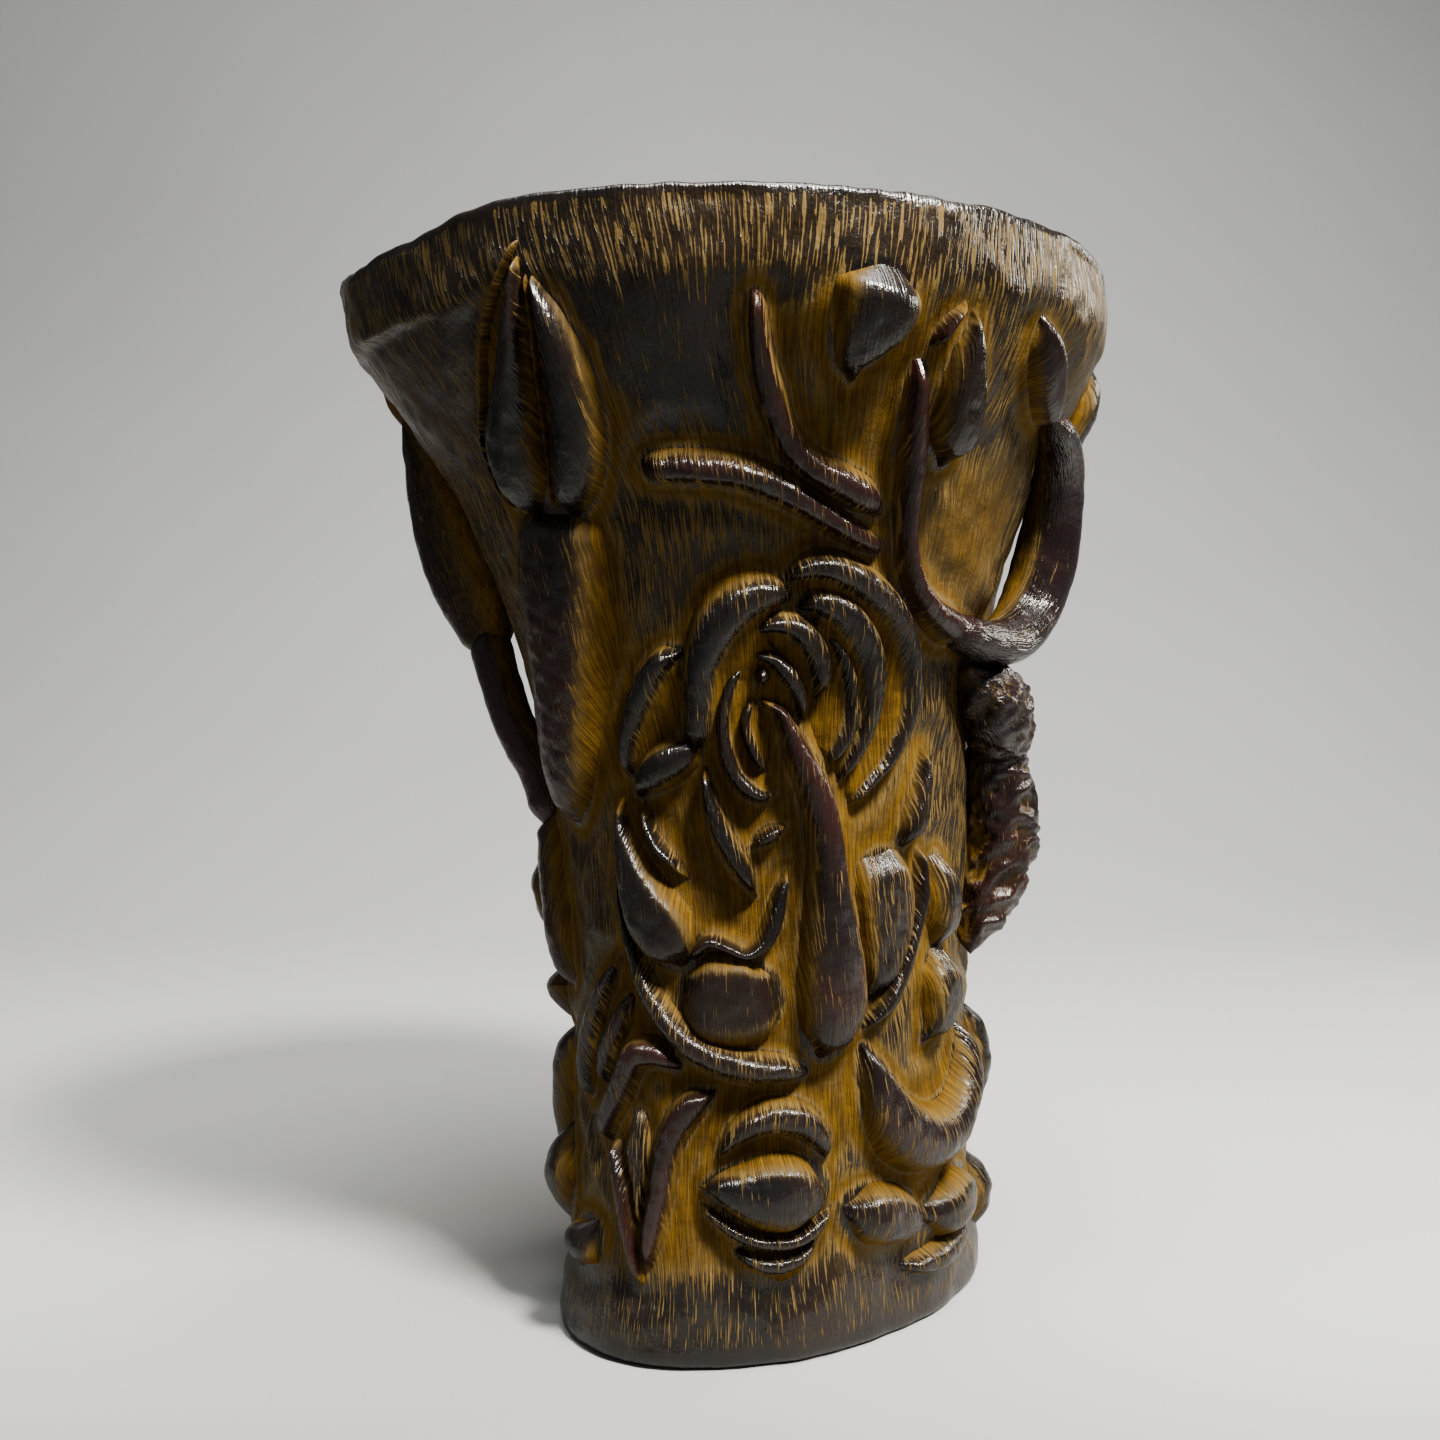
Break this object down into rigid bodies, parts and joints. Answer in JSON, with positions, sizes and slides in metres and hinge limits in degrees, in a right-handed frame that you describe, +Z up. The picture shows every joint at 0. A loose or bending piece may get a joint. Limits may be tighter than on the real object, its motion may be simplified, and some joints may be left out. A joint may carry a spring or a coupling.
{
  "type": "carved horn drinking cup",
  "caption": "Flared oval drinking cup of dark polished horn, with a plugged foot and carved flowers, buds and branches in relief around its wall.",
  "frame": {"origin": "middle of the foot, on the surface that the cup stands on", "axes": "+Z up along the cup, -Y out of the carved front, +X to the right of a person who faces the front"},
  "size_m": [0.1056, 0.089, 0.14],
  "materials": {
    "wall_horn": "polished horn with ochre residue",
    "carving_horn": "polished dark horn",
    "branch_horn": "polished reddish brown horn",
    "wax": "dull wax"
  },
  "bodies": {
    "root": {"almond_bud": "carving_horn", "back_blossom_inner": "carving_horn", "back_blossom_outer": "carving_horn", "back_bud_petals": "carving_horn", "back_bud_stalk": "branch_horn", "back_buds": "carving_horn", "back_calyx": "carving_horn", "back_hook_branch": "branch_horn", "back_low_bud": "carving_horn", "back_rockwork": "carving_horn", "back_split_leaf": "branch_horn", "back_twig": "branch_horn", "bowl_right": "carving_horn", "bowl_rim": "carving_horn", "bud_pegs": "carving_horn", "centre_petal": "carving_horn", "core_petals": "carving_horn", "crescent_leaf": "carving_horn", "edge_bud": "carving_horn", "foot_plug": "wall_horn", "gnarl_high": "branch_horn", "gnarl_low": "branch_horn", "hook_branch": "branch_horn", "horn_wall": "wall_horn", "left_bud_petals": "carving_horn", "left_bud_sheath": "carving_horn", "left_bud_stalk": "branch_horn", "left_petal": "carving_horn", "left_pods": "carving_horn", "loop_branch": "branch_horn", "loop_pad": "branch_horn", "loop_stem": "branch_horn", "low_bud_heart": "carving_horn", "low_bud_husk": "carving_horn", "petal_crown": "carving_horn", "petal_far": "carving_horn", "petal_folds": "carving_horn", "petal_inner": "carving_horn", "petal_outer": "carving_horn", "petal_second": "carving_horn", "petal_tail": "carving_horn", "petal_third": "carving_horn", "plug_seal": "wax", "right_blade": "carving_horn", "right_knobs": "carving_horn", "right_petal": "carving_horn", "right_sepals": "carving_horn", "rockwork": "carving_horn", "side_branch": "branch_horn", "side_leaf": "branch_horn", "side_lobes": "carving_horn", "side_stem": "branch_horn", "split_leaf_head": "branch_horn", "split_leaf_heart": "carving_horn", "split_leaf_rims": "branch_horn", "tongue_leaf": "branch_horn", "triangle_bud": "carving_horn", "twig_thick": "branch_horn", "twig_thin": "branch_horn"}
  },
  "joints": []
}
